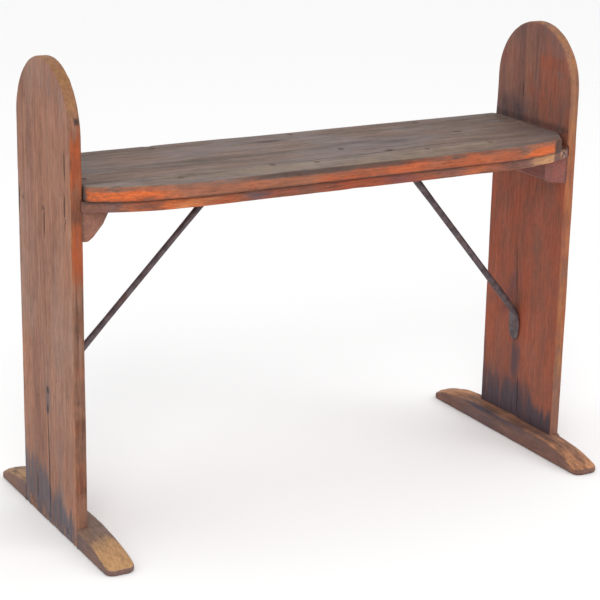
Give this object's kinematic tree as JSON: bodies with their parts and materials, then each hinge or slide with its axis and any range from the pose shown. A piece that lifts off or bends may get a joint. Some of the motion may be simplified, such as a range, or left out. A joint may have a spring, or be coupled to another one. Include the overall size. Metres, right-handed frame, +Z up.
{
  "type": "plank bench",
  "caption": "Worn plank bench with round-topped end boards, a bowed double-thickness seat, runner feet and iron rod braces.",
  "frame": {"origin": "on the floor, midway between the end boards and midway along the feet", "axes": "+X along the bench to the right-hand end, +Y towards the straight back edge of the seat, +Z up"},
  "size_m": [0.764, 0.372, 0.62],
  "materials": {
    "end_board_wood": "worn reddish-brown stain, bare grey and orange-brown wood on the edges, blackened at the floor",
    "foot_wood": "worn bare wood with dark streaks",
    "top_board_wood": "weathered grey-brown top, orange-red paint left on the front edge",
    "under_board_wood": "worn red-brown paint over tan wood",
    "cleat_wood": "dull red-brown stain",
    "brace_iron": "dark purplish-brown forged iron, matt",
    "nail_iron": "rusty, matt"
  },
  "bodies": {
    "root": {"left_end_board": "end_board_wood", "right_end_board": "end_board_wood", "left_foot": "foot_wood", "right_foot": "foot_wood", "top_board": "top_board_wood", "under_board": "under_board_wood", "left_cleat": "cleat_wood", "right_cleat": "cleat_wood", "left_brace": "brace_iron", "right_brace": "brace_iron", "left_brace_rivet": "brace_iron", "right_brace_rivet": "brace_iron", "left_brace_screw": "brace_iron", "right_brace_screw": "brace_iron", "top_board_nails": "nail_iron", "left_seat_nails": "nail_iron", "right_seat_nails": "nail_iron", "left_cleat_nails": "nail_iron", "right_cleat_nails": "nail_iron", "left_foot_nails": "nail_iron", "right_foot_nails": "nail_iron"}
  },
  "joints": []
}
